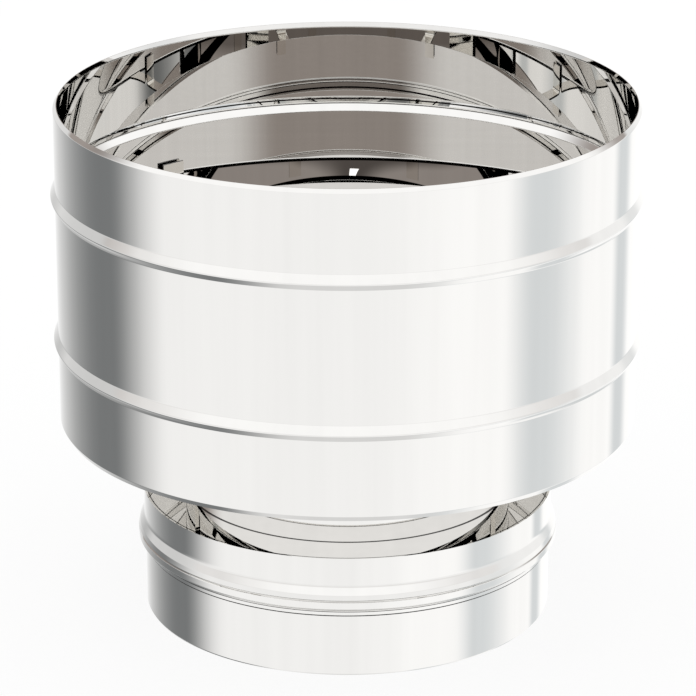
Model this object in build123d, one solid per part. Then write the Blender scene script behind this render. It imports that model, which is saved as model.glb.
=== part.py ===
from build123d import *
import math
import os

# Driving dimensions in millimetres. Origin on the axis, in the plane of the spigot's lower edge.
SHEET = 0.8
DRUM_R = 176.0
DRUM_Z0 = 120.0
DRUM_H = 200.0
BEAD_LOW = 53.6
BEAD_HIGH = 144.6
BEAD_UNDER = 4.1
BEAD_OVER = 5.5
BEAD_OUT = 2.8
HEM_H = 4.5
HEM_T = 2.0
PIPE_R = 100.0
PIPE_TOP = 173.0
RING_GAP = 25.0
SPIGOT_TOP = 66.0
STOP_MID = 46.4
STOP_HALF = 4.2
STOP_OUT = 4.5
COLLAR_TOP = 75.6
FLARE_FOOT = 50.0
FLARE_H = 5.1
FLARE_OUT = 3.4
PLATE_TOP = 75.3
DISC_R = 148.5
DISC_TOP = 220.7
DISC_LIP = 2.2
STRAP_W = 16.0
STRAP_T = 1.5
STRAP_FOOT = 132.0
STRAP_HEAD = 238.7
STRAP_TURN = 40.0
STRAP_COUNT = 4

os.makedirs("parts", exist_ok=True)


def ring(points):
    # A closed section in (radius, height), turned once round the vertical axis.
    section = Polygon(*points, align=None)
    upright = Plane.XZ * section
    return revolve(upright, axis=Axis.Z, revolution_arc=360)


def bead(radius, crest):
    # One swaged bead, from its lower end to its upper end. Its lower flank is the steeper one.
    return [
        (radius, crest - BEAD_UNDER),
        (radius + BEAD_OUT, crest),
        (radius, crest + BEAD_OVER),
    ]


# Drum: one rolled sheet, two beads, both edges hemmed inwards
z0 = DRUM_Z0
z1 = DRUM_Z0 + DRUM_H
wall_in = DRUM_R - SHEET
hem_in = DRUM_R - HEM_T
outer = [(DRUM_R, z0)]
outer += bead(DRUM_R, z0 + BEAD_LOW)
outer += bead(DRUM_R, z0 + BEAD_HIGH)
outer += [(DRUM_R, z1)]
inner = [(hem_in, z0), (wall_in, z0 + HEM_H)]
inner += bead(wall_in, z0 + BEAD_LOW)
inner += bead(wall_in, z0 + BEAD_HIGH)
inner += [(wall_in, z1 - HEM_H), (hem_in, z1)]
drum_shell = ring(outer + inner[::-1])

# Spigot pipe: plain lower end, stop bead, and an upper end inside the sleeve
spigot_r = PIPE_R + RING_GAP
spigot_out = [
    (spigot_r, 0.0),
    (spigot_r, STOP_MID - STOP_HALF),
    (spigot_r + STOP_OUT, STOP_MID),
    (spigot_r, STOP_MID + STOP_HALF),
    (spigot_r, SPIGOT_TOP),
]
spigot_in = [(r - SHEET, z) for r, z in spigot_out]
spigot_pipe = ring(spigot_out + spigot_in[::-1])

# Collar sleeve: pushed over the spigot's upper end, flared at its foot over the stop bead
sleeve_r = spigot_r + SHEET
sleeve_out = [
    (sleeve_r, COLLAR_TOP),
    (sleeve_r, FLARE_FOOT + FLARE_H),
    (sleeve_r + FLARE_OUT, FLARE_FOOT),
]
sleeve_in = [(r - SHEET, z) for r, z in sleeve_out]
collar_sleeve = ring(sleeve_out + sleeve_in[::-1])

# Inner flue pipe
flue_pipe = ring([
    (PIPE_R - SHEET, 0.0),
    (PIPE_R, 0.0),
    (PIPE_R, PIPE_TOP),
    (PIPE_R - SHEET, PIPE_TOP),
])

# Ring plate: a flat ring that closes the space between pipe and sleeve
ring_plate = ring([
    (PIPE_R, PLATE_TOP),
    (spigot_r, PLATE_TOP),
    (spigot_r, PLATE_TOP - SHEET),
    (PIPE_R, PLATE_TOP - SHEET),
])

# Rain disc: flat, with a short drip edge turned down
rain_disc = ring([
    (0.0, DISC_TOP),
    (DISC_R, DISC_TOP),
    (DISC_R, DISC_TOP - DISC_LIP),
    (DISC_R - SHEET, DISC_TOP - DISC_LIP),
    (DISC_R - SHEET, DISC_TOP - SHEET),
    (0.0, DISC_TOP - SHEET),
])

# Straps: up the outside of the pipe, out under the disc, up the inside of the drum
arm_top = DISC_TOP - DISC_LIP
tab_out = math.sqrt(wall_in ** 2 - (STRAP_W / 2) ** 2)
strap_line = [
    (PIPE_R, STRAP_FOOT),
    (PIPE_R + STRAP_T, STRAP_FOOT),
    (PIPE_R + STRAP_T, arm_top - STRAP_T),
    (tab_out, arm_top - STRAP_T),
    (tab_out, STRAP_HEAD),
    (tab_out - STRAP_T, STRAP_HEAD),
    (tab_out - STRAP_T, arm_top),
    (PIPE_R, arm_top),
]
strap_face = Plane.XZ * Polygon(*strap_line, align=None)
strap = extrude(strap_face, amount=STRAP_W / 2, both=True)

export_step(drum_shell, "parts/drum_shell.step")
export_step(collar_sleeve, "parts/collar_sleeve.step")
export_step(spigot_pipe, "parts/spigot_pipe.step")
export_step(flue_pipe, "parts/flue_pipe.step")
export_step(ring_plate, "parts/ring_plate.step")
export_step(rain_disc, "parts/rain_disc.step")
for k in range(STRAP_COUNT):
    turned = Rot(0, 0, STRAP_TURN + 360.0 / STRAP_COUNT * k) * strap
    export_step(turned, f"parts/strap_{k + 1}.step")
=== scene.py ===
# %% [markdown]
# A chimney cap of mirror-polished stainless steel. An open drum stands round a flue pipe,
# a flat disc inside it keeps the rain out, and a collar below plugs onto the chimney.
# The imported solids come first. They are the frame: every piece below is made in the same
# metres and in the same place, and takes the place of one solid. They could be dressed as
# they are, but a mirror shows every facet and every missing bend, so each one is made anew.

# %% Load the frame
import math

import bpy
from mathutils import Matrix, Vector


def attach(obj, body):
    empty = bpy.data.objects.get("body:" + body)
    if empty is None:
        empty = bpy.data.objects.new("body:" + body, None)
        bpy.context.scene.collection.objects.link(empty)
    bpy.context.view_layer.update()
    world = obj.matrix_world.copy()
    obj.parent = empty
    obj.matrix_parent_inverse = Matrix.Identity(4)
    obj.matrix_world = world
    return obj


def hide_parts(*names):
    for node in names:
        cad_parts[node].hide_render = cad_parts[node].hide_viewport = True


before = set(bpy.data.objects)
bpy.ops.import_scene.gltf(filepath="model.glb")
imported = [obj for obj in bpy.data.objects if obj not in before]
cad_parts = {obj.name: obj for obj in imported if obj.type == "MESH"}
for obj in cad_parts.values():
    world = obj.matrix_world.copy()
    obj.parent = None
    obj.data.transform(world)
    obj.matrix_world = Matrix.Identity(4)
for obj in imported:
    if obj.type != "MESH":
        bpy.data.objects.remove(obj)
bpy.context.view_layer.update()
print("solids:", sorted(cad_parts))

# %% [markdown]
# The camera is set before anything is modelled, because it decides which details show.
# The picture was taken from well away with a long lens, a little from above, so upright
# lines stay almost upright and both rims of the drum are seen as flat ellipses. A near
# camera with a short lens would show the same pieces with much rounder rims.

# %% Camera
MM = 0.001
CAMERA_PLACE = Vector((0.0, -2.25843, 0.99229))
CAMERA_TARGET = Vector((0.0, 0.0, 0.16178))
SENSOR_WIDTH = 36.0
LENS = 203.49
FRAMING_SHIFT = 0.00086

scene = bpy.context.scene
scene.view_settings.view_transform = "Standard"

camera_data = bpy.data.cameras.new("long_lens")
camera = bpy.data.objects.new("long_lens", camera_data)
scene.collection.objects.link(camera)
sight = CAMERA_TARGET - CAMERA_PLACE
camera.location = CAMERA_PLACE
camera.rotation_euler = sight.to_track_quat("-Z", "Y").to_euler()
camera_data.sensor_width = SENSOR_WIDTH
camera_data.lens = LENS
camera_data.shift_x = FRAMING_SHIFT
scene.camera = camera
print("camera looks down by", round(math.degrees(math.asin(-sight.normalized().z)), 1), "degrees")

# %% [markdown]
# A mirror shows its surroundings and hardly anything of its own, so the studio is part of
# the look. It is a white tent. Low on the left a dark flag hangs in it, which draws the
# long grey band down the left of the drum, and two grey struts stand on the right. Above
# eye level a brown-grey wall stands at the back, which is what the inside of the drum
# shows, and a grey cloth hangs overhead.
# The tent could be built of planes round the object. It is made in the world's nodes
# instead, by direction, because there each edge can be moved by one number: azimuth round
# the object, with 0 at the camera and the right positive, and elevation above the horizon,
# both in degrees. Only mirror rays see it. The camera sees plain white, and so does the
# light that falls on the floor. A mirror ray is followed through five reflections. What
# would take more stays black, as the thin streaks deep inside the drum do.

# %% A helper that adds one node
def add(tree, kind, inputs=None, **settings):
    made = tree.nodes.new(kind)
    for name, value in settings.items():
        setattr(made, name, value)
    for socket, value in (inputs or {}).items():
        if isinstance(value, bpy.types.NodeSocket):
            tree.links.new(value, made.inputs[socket])
        else:
            made.inputs[socket].default_value = value
    return made


# %% Directions in the studio
REFLECTIONS = 5
scene.cycles.max_bounces = REFLECTIONS
scene.cycles.glossy_bounces = REFLECTIONS

world = bpy.data.worlds.new("white_tent")
scene.world = world
world.use_nodes = True
tent = world.node_tree
tent.nodes.clear()

ray = add(tent, "ShaderNodeTexCoord")
parts = add(tent, "ShaderNodeSeparateXYZ", {0: ray.outputs["Generated"]})
toward = add(tent, "ShaderNodeMath", {0: parts.outputs["Y"], 1: -1.0}, operation="MULTIPLY")
azimuth = add(
    tent, "ShaderNodeMath", {0: parts.outputs["X"], 1: toward.outputs[0]}, operation="ARCTAN2",
)
elevation = add(tent, "ShaderNodeMath", {0: parts.outputs["Z"]}, operation="ARCSINE")
print("mirror rays end after", scene.cycles.glossy_bounces, "reflections")


# %% Tones of the studio
GREEN_SHARE = 0.65


def grey(value, warmth=0.0):
    return (value, value * (1 - GREEN_SHARE * warmth), value * (1 - warmth), 1.0)


WHITE = grey(1.0)
BLACK = grey(0.0)
print("white is", WHITE)


# %% How one cloth gives way to the next
def fade(first, second, angle, start, end):
    share = add(
        tent, "ShaderNodeMapRange",
        {"Value": angle.outputs[0], "From Min": math.radians(start), "From Max": math.radians(end)},
        interpolation_type="SMOOTHSTEP",
    )
    mixed = add(
        tent, "ShaderNodeMix", {"Factor": share.outputs[0], 6: first, 7: second}, data_type="RGBA",
    )
    return mixed.outputs[2]


def hang(behind, colour, left, right, soft_left, soft_right):
    to_the_right = fade(colour, behind, azimuth, right, right + soft_right)
    return fade(behind, to_the_right, azimuth, left - soft_left, left)


# %% Low tent: white, with a lamp side, a flag and two struts
TENT = grey(1.05)
LAMP = grey(1.14)
FLAG = grey(0.21, -0.06)
NEAR_STRUT = grey(0.78, -0.06)
FAR_STRUT = grey(0.76, -0.06)

low = hang(TENT, LAMP, left=45, right=150, soft_left=40, soft_right=30)
low = hang(low, FLAG, left=-112, right=-106, soft_left=75, soft_right=34)
low = hang(low, NEAR_STRUT, left=78, right=82, soft_left=16, soft_right=30)
low = hang(low, FAR_STRUT, left=134, right=138, soft_left=8, soft_right=10)
print("low tent nodes:", len(tent.nodes))

# %% High tent: a brown-grey wall at the back, white in front
BACK = math.radians(188.0)
WALL_FOOT = grey(0.40, 0.16)
WALL_HEAD = grey(0.25, 0.16)
FRONT_FOOT = grey(0.90, 0.02)
WALL_DARKENS = (18, 34)
FRONT_BRIGHTENS = (17, 27)
WIDE_EDGE = (46, 92)
NARROW_EDGE = (50, 75)
EDGE_NARROWS = (17.5, 20)

off_back = add(tent, "ShaderNodeMath", {0: azimuth.outputs[0], 1: -BACK}, operation="ADD")
wrapped = add(
    tent, "ShaderNodeMath", {0: off_back.outputs[0], 1: math.pi, 2: -math.pi}, operation="WRAP",
)
aside = add(tent, "ShaderNodeMath", {0: wrapped.outputs[0]}, operation="ABSOLUTE")

wall = fade(WALL_FOOT, WALL_HEAD, elevation, *WALL_DARKENS)
front = fade(FRONT_FOOT, LAMP, elevation, *FRONT_BRIGHTENS)
wide = fade(wall, front, aside, *WIDE_EDGE)
narrow = fade(wall, front, aside, *NARROW_EDGE)
high = fade(wide, narrow, elevation, *EDGE_NARROWS)
print("with the high tent:", len(tent.nodes))

# %% The tent from the ground up
GROUND = grey(0.78)
VEIL = grey(0.98)
VEIL_SHARE = 0.65
OVERHEAD = grey(0.62)
GROUND_TO_LOW = (-82, -64)
LOW_TO_VEIL = (-8, 0)
VEIL_TO_HIGH = (12.5, 14.8)
HIGH_TO_LAMP = (40, 52)
LAMP_TO_OVERHEAD = (63, 78)

veiled = add(tent, "ShaderNodeMix", {"Factor": VEIL_SHARE, 6: low, 7: VEIL}, data_type="RGBA")
walls = fade(low, veiled.outputs[2], elevation, *LOW_TO_VEIL)
walls = fade(walls, high, elevation, *VEIL_TO_HIGH)
walls = fade(walls, LAMP, elevation, *HIGH_TO_LAMP)
walls = fade(walls, OVERHEAD, elevation, *LAMP_TO_OVERHEAD)
walls = fade(GROUND, walls, elevation, *GROUND_TO_LOW)
print("with all the walls:", len(tent.nodes))

# %% Who sees the tent
mirror_sees = add(tent, "ShaderNodeBackground", {"Color": walls})
others_see = add(tent, "ShaderNodeBackground", {"Color": WHITE})
path = add(tent, "ShaderNodeLightPath")
either = add(
    tent, "ShaderNodeMixShader",
    {0: path.outputs["Is Glossy Ray"], 1: others_see.outputs[0], 2: mirror_sees.outputs[0]},
)
add(tent, "ShaderNodeOutputWorld", {0: either.outputs[0]})
print("studio nodes:", len(tent.nodes))

# %% [markdown]
# Stainless steel sheet with a mirror polish. The eye gets the studio back in it, a little
# darker and with no blur. Rolling leaves faint upright streaks about 10 mm wide, which give
# back a little more or less than their neighbours. Joints and tight folds get painted shade:
# they are coloured nearly black, for the shade that falls into them. They could be cut as
# grooves, but they are thinner than a pixel, so the shade is painted: small boxes in
# (radius, height) on the piece's own coordinates.

# %% Colours as they are seen, turned to linear values
def srgb(hex_code):
    values = [int(hex_code[i:i + 2], 16) / 255 for i in (0, 2, 4)]
    linear = [v / 12.92 if v <= 0.04045 else ((v + 0.055) / 1.055) ** 2.4 for v in values]
    return (*linear, 1.0)


# %% Rolled streaks
SHEET_DARKER = "E7E6E4"
SHEET_LIGHTER = "EFEEEC"
STREAK_WIDTH = 10.0
STREAK_STRETCH = 0.03


def rolled_streaks(tree):
    place = add(tree, "ShaderNodeTexCoord")
    drawn_out = add(
        tree, "ShaderNodeMapping",
        {"Vector": place.outputs["Object"], "Scale": (1.0, 1.0, STREAK_STRETCH)},
    )
    streaks = add(
        tree, "ShaderNodeTexNoise",
        {"Vector": drawn_out.outputs[0], "Scale": 1 / (STREAK_WIDTH * MM), "Detail": 2.0},
    )
    mixed = add(
        tree, "ShaderNodeMix",
        {"Factor": streaks.outputs["Fac"], 6: srgb(SHEET_DARKER), 7: srgb(SHEET_LIGHTER)},
        data_type="RGBA",
    )
    return mixed.outputs[2]


# %% Painted shade, nearly black, at joints and folds
# Near-black colour: painted shade at joints and folds, and the colour of the straps' sheared edges.
NEAR_BLACK = "1A1918"


# Paints shade: near-black inside a box of radius and height.
def painted_shade_box(tree, colour, radii, heights):
    place = add(tree, "ShaderNodeTexCoord")
    split = add(tree, "ShaderNodeSeparateXYZ", {0: place.outputs["Object"]})
    level = add(tree, "ShaderNodeCombineXYZ", {"X": split.outputs["X"], "Y": split.outputs["Y"]})
    radius = add(tree, "ShaderNodeVectorMath", {0: level.outputs[0]}, operation="LENGTH")
    within_span = []
    for value, (least, most) in ((radius.outputs["Value"], radii), (split.outputs["Z"], heights)):
        middle = (least + most) / 2 * MM
        half = (most - least) / 2 * MM
        near = add(tree, "ShaderNodeMath", {0: value, 1: middle, 2: half}, operation="COMPARE")
        within_span.append(near.outputs[0])
    here = add(tree, "ShaderNodeMath", {0: within_span[0], 1: within_span[1]}, operation="MULTIPLY")
    mixed = add(
        tree, "ShaderNodeMix", {"Factor": here.outputs[0], 6: colour, 7: srgb(NEAR_BLACK)}, data_type="RGBA",
    )
    return mixed.outputs[2]


# %% Polished sheet
def polished_steel(name, painted_shade_places=()):
    made = bpy.data.materials.new(name)
    made.use_nodes = True
    tree = made.node_tree
    shader = tree.nodes["Principled BSDF"]
    shader.inputs["Metallic"].default_value = 1.0
    shader.inputs["Roughness"].default_value = 0.0
    colour = rolled_streaks(tree)
    # Painted shade at each listed joint or fold.
    for radii, heights in painted_shade_places:
        colour = painted_shade_box(tree, colour, radii, heights)
    tree.links.new(colour, shader.inputs["Base Color"])
    return made


polished = polished_steel("polished_stainless_sheet")
print("material:", polished.name)

# %% [markdown]
# The strip of the straps is stainless too, but less polished: its gloss changes a little
# from place to place, as it does where hands have been. Noise in the roughness gives that,
# where one even roughness would look like plastic film. The strip was cut with shears, and
# its cut edges aren't polished at all.

# %% Strip
STRIP_COLOUR = "E4E1DB"
STRIP_ROUGH = (0.02, 0.04)
EDGE_ROUGH = (0.25, 0.45)
SMUDGE_WIDTH = 36.0
NOISE_SPAN = (0.3, 0.7)


def strip_steel(name, colour, roughness):
    made = bpy.data.materials.new(name)
    made.use_nodes = True
    tree = made.node_tree
    shader = tree.nodes["Principled BSDF"]
    shader.inputs["Base Color"].default_value = srgb(colour)
    shader.inputs["Metallic"].default_value = 1.0
    place = add(tree, "ShaderNodeTexCoord")
    smudge = add(
        tree, "ShaderNodeTexNoise",
        {"Vector": place.outputs["Object"], "Scale": 1 / (SMUDGE_WIDTH * MM), "Detail": 3.0},
    )
    rough = add(
        tree, "ShaderNodeMapRange",
        {"Value": smudge.outputs["Fac"], "From Min": NOISE_SPAN[0], "From Max": NOISE_SPAN[1],
         "To Min": roughness[0], "To Max": roughness[1]},
    )
    tree.links.new(rough.outputs[0], shader.inputs["Roughness"])
    return made


strip = strip_steel("stainless_strip", STRIP_COLOUR, STRIP_ROUGH)
sheared = strip_steel("sheared_strip_edge", NEAR_BLACK, EDGE_ROUGH)
print("materials:", strip.name, sheared.name)

# %% [markdown]
# Every round piece is sheet metal rolled to a ring. A cylinder could be cut and scaled into
# each, but it is simpler to model it as a lathe would show it: the outer face of the sheet
# is drawn as a line in (radius, height), bends are given their radius, the line is spun
# round the axis, and the sheet gets its thickness last. Short straight stretches beside
# each bend hold the shading of the flat walls.

# %% Section lines
BEND_STEPS = 4
ROOM_USED = 0.99
HOLD = 0.5
HOLD_FROM = 3 * HOLD


def rounded(corners):
    line = [Vector(c[:2]) for c in corners]
    radii = [c[2] if len(c) > 2 else 0.0 for c in corners]
    points = [line[0]]
    for i in range(1, len(line) - 1):
        before, here, after = line[i - 1], line[i], line[i + 1]
        to_before = (before - here).normalized()
        to_after = (after - here).normalized()
        bend = math.pi - to_before.angle(to_after)
        room = min((before - here).length, (after - here).length) / 2
        reach = min(radii[i] * math.tan(bend / 2), room * ROOM_USED)
        start = here + to_before * reach
        end = here + to_after * reach
        for step in range(BEND_STEPS + 1):
            t = step / BEND_STEPS
            points.append(start * (1 - t) ** 2 + here * 2 * t * (1 - t) + end * t ** 2)
    points.append(line[-1])
    held = [points[0]]
    for a, b in zip(points, points[1:]):
        if (b - a).length > HOLD_FROM:
            along = (b - a).normalized() * HOLD
            held += [a + along, b - along]
        held.append(b)
    return held


# %% Draw a section line
def deselect():
    bpy.ops.object.select_all(action="DESELECT")


def draw_line(name, points):
    deselect()
    bpy.ops.mesh.primitive_plane_add(size=MM)
    piece = bpy.context.object
    piece.name = name
    bpy.ops.object.mode_set(mode="EDIT")
    bpy.ops.mesh.select_all(action="SELECT")
    bpy.ops.mesh.merge(type="CENTER")
    bpy.ops.transform.translate(value=(points[0].x * MM, 0, points[0].y * MM))
    for a, b in zip(points, points[1:]):
        step = (b - a) * MM
        bpy.ops.mesh.extrude_vertices_move(TRANSFORM_OT_translate={"value": (step.x, 0, step.y)})
    bpy.ops.mesh.select_all(action="SELECT")
    return piece


# %% A ring of sheet
AROUND = 400
MERGE_WITHIN = 0.01 * MM
SHARP_FROM = math.radians(32)


def spin_line():
    bpy.ops.mesh.spin(steps=AROUND, angle=2 * math.pi, center=(0, 0, 0), axis=(0, 0, 1))
    bpy.ops.mesh.select_all(action="SELECT")
    bpy.ops.mesh.remove_doubles(threshold=MERGE_WITHIN)
    bpy.ops.mesh.normals_make_consistent(inside=False)
    bpy.ops.object.mode_set(mode="OBJECT")


def give_thickness(piece, thickness):
    inward = piece.modifiers.new("sheet", "SOLIDIFY")
    inward.thickness = thickness * MM
    inward.offset = -1.0
    inward.use_even_offset = True
    bpy.ops.object.modifier_apply(modifier=inward.name)
    bpy.ops.object.shade_smooth_by_angle(angle=SHARP_FROM)


def sheet_ring(name, corners, thickness):
    piece = draw_line(name, rounded(corners))
    spin_line()
    give_thickness(piece, thickness)
    return piece


# %% Dress a piece and say which solid it replaces
def dress(piece, node, material):
    piece.data.name = piece.name
    piece.data.materials.clear()
    piece.data.materials.append(material)
    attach(piece, "root")
    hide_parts(node)
    size = [round(v / MM, 1) for v in piece.dimensions]
    print(piece.name, "mm:", size, "faces:", len(piece.data.polygons))


# %% [markdown]
# The drum is one sheet, rolled and welded edge to edge. Two beads are swaged outwards to
# stiffen it. Both edges are hemmed: the sheet is folded back inside on itself, so no cut
# edge shows, and the folding draws the edge in a little. A hem is two sheets thick, so one
# thickness for the whole piece would not do: the outer and the inner face are drawn as two
# lines and joined to a closed section.

# %% Drum
SHEET = 0.8
DRUM_R = 176.0
WALL_IN = DRUM_R - SHEET
DRUM_LOW = 120.0
DRUM_HIGH = 320.0
BEAD_LOW = 173.6
BEAD_HIGH = 264.6
BEAD_OUT = 2.8
BEAD_UNDER = 4.1
BEAD_OVER = 5.6
BEAD_BEND = 0.8


def beads(radius):
    corners = []
    for crest in (BEAD_LOW, BEAD_HIGH):
        corners += [
            (radius, crest - BEAD_UNDER, BEAD_BEND),
            (radius + BEAD_OUT, crest, BEAD_BEND),
            (radius, crest + BEAD_OVER, BEAD_BEND),
        ]
    return corners


# %% Drum section
HEM_H = 3.2
HEM_STEP = 0.3
FOLD_H = 2.3
LOW_FOLD_IN = 1.85
HIGH_FOLD_IN = 1.9
LOW_HEM_FOOT = 1.4
LOW_HEM_IN = 1.6
HIGH_HEM_IN = 2.2
HIGH_HEM_HEAD = 1.45
OUTER_BEND = 0.6
HEM_BEND = 0.4
STEP_BEND = 0.2

outside = [
    (DRUM_R - LOW_FOLD_IN, DRUM_LOW),
    (DRUM_R, DRUM_LOW + HEM_H, OUTER_BEND),
    *beads(DRUM_R),
    (DRUM_R, DRUM_HIGH - FOLD_H, OUTER_BEND),
    (DRUM_R - HIGH_FOLD_IN, DRUM_HIGH),
]
within = [
    (WALL_IN - LOW_HEM_FOOT, DRUM_LOW),
    (WALL_IN - LOW_HEM_IN, DRUM_LOW + HEM_H, HEM_BEND),
    (WALL_IN, DRUM_LOW + HEM_H + HEM_STEP, STEP_BEND),
    *beads(WALL_IN),
    (WALL_IN, DRUM_HIGH - HEM_H - HEM_STEP, STEP_BEND),
    (WALL_IN - HIGH_HEM_IN, DRUM_HIGH - HEM_H, HEM_BEND),
    (WALL_IN - HIGH_HEM_HEAD, DRUM_HIGH),
]
print("corners outside:", len(outside), "within:", len(within))

# %% Spin the drum
# Radii and heights of the two lines of painted shade at the upper bead, inside the drum.
bead_crease = ((DRUM_R - 2.0, DRUM_R + 2.2), (BEAD_HIGH + 0.1, BEAD_HIGH + 0.6))
bead_run_out = ((DRUM_R - 2.0, DRUM_R + 0.4), (BEAD_HIGH + 3.3, BEAD_HIGH + 4.5))
drum_steel = polished_steel("polished_stainless_drum", [bead_run_out, bead_crease])

drum = draw_line("drum", rounded(outside) + rounded(within)[::-1] + rounded(outside)[:1])
spin_line()
bpy.ops.object.shade_smooth_by_angle(angle=SHARP_FROM)
dress(drum, "drum_shell", drum_steel)

# %% [markdown]
# The collar is two sheets. The spigot goes down into the chimney as far as its stop bead.
# The sleeve is pushed over the spigot's upper end, and its foot is opened out over the
# bead, which leaves a dark thin line all round between the two. Drawn as one sheet the
# collar would be simpler, but that line and the step beside it would be lost.

# %% Spigot
SPIGOT_R = 125.0
SPIGOT_TOP = 66.0
EDGE_IN = 0.4
EDGE_H = 0.8
STEP_OUT = 0.4
STEP_FOOT = 38.4
STEP_HEAD = 38.9
STOP_OUT = 4.4
STOP_FOOT = 41.2
STOP_LOW = 44.6
STOP_HIGH = 48.6
STOP_HEAD = 52.0
SMALL_BEND = 0.3
STOP_FOOT_BEND = 0.6
STOP_BEND = 0.5
STOP_HEAD_BEND = 1.0

# Radii and heights of the lines of painted shade at the small step and under the stop bead.
spigot_skin = (SPIGOT_R - 0.1, SPIGOT_R + 5.0)
stop_foot_line = (spigot_skin, (STOP_FOOT - 0.2, STOP_FOOT + 0.4))
stop_flank_line = (spigot_skin, (STOP_FOOT + 1.8, STOP_FOOT + 2.3))
step_line = (spigot_skin, (STEP_FOOT - 0.2, STEP_HEAD + 0.1))
spigot_steel = polished_steel(
    "polished_stainless_spigot", [stop_foot_line, stop_flank_line, step_line],
)

spigot = sheet_ring("spigot", [
    (SPIGOT_R - EDGE_IN, 0.0),
    (SPIGOT_R, EDGE_H, SMALL_BEND),
    (SPIGOT_R, STEP_FOOT, SMALL_BEND),
    (SPIGOT_R + STEP_OUT, STEP_HEAD, SMALL_BEND),
    (SPIGOT_R + STEP_OUT, STOP_FOOT, STOP_FOOT_BEND),
    (SPIGOT_R + STOP_OUT, STOP_LOW, STOP_BEND),
    (SPIGOT_R + STOP_OUT, STOP_HIGH, STOP_BEND),
    (SPIGOT_R, STOP_HEAD, STOP_HEAD_BEND),
    (SPIGOT_R, SPIGOT_TOP),
], SHEET)
dress(spigot, "spigot_pipe", spigot_steel)

# %% Sleeve
SLEEVE_R = SPIGOT_R + SHEET
SLEEVE_TOP = 75.6
FLARE_TOP = 58.2
FLARE_KNEE = 52.8
FLARE_FOOT = 50.0
KNEE_OUT = 2.6
FOOT_OUT = 3.35
FLARE_BEND = 5.0
KNEE_BEND = 1.5

sleeve = sheet_ring("sleeve", [
    (SLEEVE_R, SLEEVE_TOP),
    (SLEEVE_R, FLARE_TOP, FLARE_BEND),
    (SLEEVE_R + KNEE_OUT, FLARE_KNEE, KNEE_BEND),
    (SLEEVE_R + FOOT_OUT, FLARE_FOOT),
], SHEET)
dress(sleeve, "collar_sleeve", polished)

# %% [markdown]
# Inside the collar stands the flue pipe, which carries the smoke up into the drum. A flat
# ring closes the space between pipe and sleeve, where the insulation ends. Both are plain
# sheet, and a ready-made cylinder would do for the pipe, but it would have no wall. Where
# the ring meets the pipe and the sleeve, a line of painted shade marks the joint.

# %% Flue pipe
PIPE_R = 100.0
PIPE_TOP = 173.0

pipe = sheet_ring("flue", [(PIPE_R, 0.0), (PIPE_R, PIPE_TOP)], SHEET)
dress(pipe, "flue_pipe", polished)

# %% Ring plate
PLATE_TOP = 75.3

# Radii and heights of the lines of painted shade along the plate's two joints.
plate_level = (PLATE_TOP - 1.3, PLATE_TOP + 0.7)
pipe_joint = ((PIPE_R - 1.0, PIPE_R + 0.9), plate_level)
sleeve_joint = ((SPIGOT_R - 1.4, SPIGOT_R - 0.65), plate_level)
plate_steel = polished_steel("polished_stainless_plate", [pipe_joint, sleeve_joint])
plate = sheet_ring("closing_ring", [(PIPE_R, PLATE_TOP), (SPIGOT_R, PLATE_TOP)], SHEET)
dress(plate, "ring_plate", plate_steel)

# %% [markdown]
# The rain disc lies flat across the drum above the pipe. Its edge is turned down a little,
# so that water drips off there and does not run back under it. A flat round plate would
# show no edge at all from above. The bend gives it one, and the outside of the lip is
# painted nearly black, a painted shade.

# %% Rain disc
DISC_R = 148.5
DISC_TOP = 220.7
DISC_LIP = 2.2
DISC_BEND = 0.9

# Painted shade, nearly black, on the outside of the lip.
lip_edge = ((DISC_R - 0.2, DISC_R + 0.5), (DISC_TOP - 3.7, DISC_TOP + 1.3))
disc_steel = polished_steel("polished_stainless_disc", [lip_edge])
disc = sheet_ring("rain_cover", [
    (0.0, DISC_TOP),
    (DISC_R, DISC_TOP, DISC_BEND),
    (DISC_R, DISC_TOP - DISC_LIP),
], SHEET)
dress(disc, "rain_disc", disc_steel)

# %% [markdown]
# Four straps carry the drum and the disc. Each is one bent strip: a leg on the pipe, an
# arm out under the disc, and a tab up the inside of the drum. Its side line is drawn with
# its two bends and pulled out to the strip's width, as the strip itself is bent. Three
# boxes would have no bends. One strap is modelled, then copied and turned.

# %% One strap
STRAP_W = 16.0
STRAP_T = 1.5
STRAP_FOOT = 132.0
STRAP_HEAD = 238.7
STRAP_BEND = 3.0
ARM_TOP = DISC_TOP - DISC_LIP
TAB_IN = math.sqrt(WALL_IN ** 2 - (STRAP_W / 2) ** 2) - STRAP_T

strap_line = rounded([
    (PIPE_R, STRAP_FOOT),
    (PIPE_R, ARM_TOP, STRAP_BEND),
    (TAB_IN, ARM_TOP, STRAP_BEND),
    (TAB_IN, STRAP_HEAD),
])
first = draw_line("strap_a", strap_line)
bpy.ops.transform.translate(value=(0, -STRAP_W / 2 * MM, 0))
bpy.ops.mesh.extrude_edges_move(TRANSFORM_OT_translate={"value": (0, STRAP_W * MM, 0)})
bpy.ops.mesh.select_all(action="SELECT")
bpy.ops.mesh.normals_make_consistent(inside=False)
bpy.ops.object.mode_set(mode="OBJECT")
print("strap face looks", [round(v, 2) for v in first.data.polygons[0].normal])
give_thickness(first, STRAP_T)

# %% Copies of the strap
straps = [first]
for letter in "bcd":
    deselect()
    first.select_set(True)
    bpy.context.view_layer.objects.active = first
    bpy.ops.object.duplicate()
    copy = bpy.context.object
    copy.name = f"strap_{letter}"
    straps.append(copy)
print("straps:", [strap.name for strap in straps])

# %% Turn the straps to their places
STRAP_TURN = 40.0
HEAD_EDGE_FROM = (STRAP_HEAD - 0.1) * MM
SIDE_EDGE_FROM = 0.9

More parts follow.
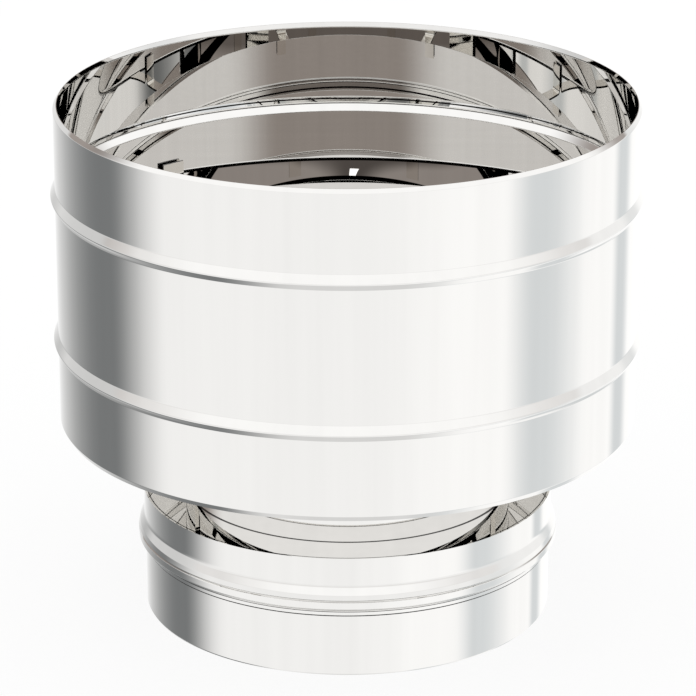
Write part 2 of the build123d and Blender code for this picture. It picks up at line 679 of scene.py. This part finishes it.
for k, strap in enumerate(straps):
    deselect()
    strap.select_set(True)
    bpy.context.view_layer.objects.active = strap
    angle = math.radians(STRAP_TURN + 360 / len(straps) * k)
    strap.rotation_euler = (0, 0, angle)
    bpy.ops.object.transform_apply(location=False, rotation=True, scale=False)
    dress(strap, f"strap_{k + 1}", strip)
    strap.data.materials.append(sheared)
    across_strap = Vector((-math.sin(angle), math.cos(angle), 0))
    for face in strap.data.polygons:
        at_side = abs(face.normal.dot(across_strap)) > SIDE_EDGE_FROM
        at_head = face.center.z > HEAD_EDGE_FROM
        face.material_index = int(at_side or at_head)

# %% [markdown]
# The floor is plain and white. A white plane under a lamp would be grey at its edges, so
# its own glow and the light on it add up to white, and the soft shade under the cap stays.
# Mirror rays pass it, because the tent goes all round.

# %% Floor
FLOOR_SIZE = 40.0
FLOOR_DROP = 0.0002
PAPER = grey(0.16)
PAPER_GLOW = 0.845

deselect()
bpy.ops.mesh.primitive_plane_add(size=FLOOR_SIZE, location=(0, 0, -FLOOR_DROP))
floor = bpy.context.object
floor.name = "floor"
paper = bpy.data.materials.new("white_paper")
paper.use_nodes = True
sheet_tree = paper.node_tree
sheet_tree.nodes.clear()
matt = add(sheet_tree, "ShaderNodeBsdfDiffuse", {"Color": PAPER})
glow = add(sheet_tree, "ShaderNodeEmission", {"Color": WHITE, "Strength": PAPER_GLOW})
both = add(sheet_tree, "ShaderNodeAddShader", {0: matt.outputs[0], 1: glow.outputs[0]})
add(sheet_tree, "ShaderNodeOutputMaterial", {0: both.outputs[0]})
floor.data.materials.append(paper)
floor.visible_glossy = False
print("floor across m:", round(floor.dimensions.x, 1))

# %% [markdown]
# The pipe is open, but it looks dark inside, as it would on a chimney. A lid would close it
# for good, so for the picture a glowing brown card closes it, out of sight below the disc, and
# only mirror rays see the card: it paints the shade inside the pipe. It has a black rim, also
# painted shade. A white strip on its front half, with painted shade to both sides, puts one
# painted highlight on the pipe's wall.

# %% Card in the pipe
CARD_R = 99.0 * MM
CARD_Z = 125.8 * MM
CARD_SIDES = 128

deselect()
bpy.ops.mesh.primitive_circle_add(
    vertices=CARD_SIDES, radius=CARD_R, location=(0, 0, CARD_Z), fill_type="NGON",
)
card = bpy.context.object
card.name = "card"
# A glowing card seen only by mirror rays: painted shade for the inside of the pipe.
painted_card = bpy.data.materials.new("brown_card")
painted_card.use_nodes = True
card_tree = painted_card.node_tree
card_tree.nodes.clear()
spot = add(card_tree, "ShaderNodeTexCoord")
across = add(card_tree, "ShaderNodeSeparateXYZ", {0: spot.outputs["Object"]})
print("card across mm:", round(card.dimensions.x / MM, 1))

# %% Brown of the card, with painted shade beside the strip and at the back
STRIP_X = -5.6 * MM
SHADE_FROM = 6.0 * MM
SHADE_TO = 36.0 * MM
BACK_HALF_FROM = -20.0 * MM
BACK_HALF_TO = 20.0 * MM
# Painted shade: darker beside the highlight strip and on the card's back half.
BESIDE_STRIP = grey(0.10, 0.20)
FRONT_HALF = grey(0.34, 0.16)
BACK_HALF = grey(0.17, 0.20)

off_strip = add(card_tree, "ShaderNodeMath", {0: across.outputs["X"], 1: -STRIP_X}, operation="ADD")
distance = add(card_tree, "ShaderNodeMath", {0: off_strip.outputs[0]}, operation="ABSOLUTE")
fading = add(
    card_tree, "ShaderNodeMapRange",
    {"Value": distance.outputs[0], "From Min": SHADE_FROM, "From Max": SHADE_TO},
    interpolation_type="SMOOTHSTEP",
)
front_brown = add(
    card_tree, "ShaderNodeMix",
    {"Factor": fading.outputs[0], 6: BESIDE_STRIP, 7: FRONT_HALF}, data_type="RGBA",
)
to_back = add(
    card_tree, "ShaderNodeMapRange",
    {"Value": across.outputs["Y"], "From Min": BACK_HALF_FROM, "From Max": BACK_HALF_TO},
)
brown = add(
    card_tree, "ShaderNodeMix",
    {"Factor": to_back.outputs[0], 6: front_brown.outputs[2], 7: BACK_HALF}, data_type="RGBA",
)
print("brown of the card:", len(card_tree.nodes), "nodes")

# %% Painted highlight strip and painted black rim of the card
STRIP_HALF = 3.6 * MM
STRIP_END = -72.0 * MM
RIM_FROM = 88.5 * MM
RIM_TO = 89.0 * MM
# Painted highlight: the strip glows brighter than white.
LIT_STRIP = grey(1.8)

on_strip = add(
    card_tree, "ShaderNodeMath", {0: across.outputs["X"], 1: STRIP_X, 2: STRIP_HALF}, operation="COMPARE",
)
in_front = add(
    card_tree, "ShaderNodeMath", {0: across.outputs["Y"], 1: STRIP_END}, operation="LESS_THAN",
)
strip_here = add(
    card_tree, "ShaderNodeMath", {0: on_strip.outputs[0], 1: in_front.outputs[0]}, operation="MULTIPLY",
)
lit = add(
    card_tree, "ShaderNodeMix",
    {"Factor": strip_here.outputs[0], 6: brown.outputs[2], 7: LIT_STRIP}, data_type="RGBA",
)
reach = add(card_tree, "ShaderNodeVectorMath", {0: spot.outputs["Object"]}, operation="LENGTH")
# Painted shade: a black rim round the card.
rim = add(
    card_tree, "ShaderNodeMapRange",
    {"Value": reach.outputs["Value"], "From Min": RIM_FROM, "From Max": RIM_TO},
)
rimmed = add(
    card_tree, "ShaderNodeMix",
    {"Factor": rim.outputs[0], 6: lit.outputs[2], 7: BLACK}, data_type="RGBA",
)
shine = add(card_tree, "ShaderNodeEmission", {"Color": rimmed.outputs[2]})
add(card_tree, "ShaderNodeOutputMaterial", {0: shine.outputs[0]})
card.data.materials.append(painted_card)
card.visible_camera = False
card.visible_diffuse = False
print("card nodes:", len(card_tree.nodes))
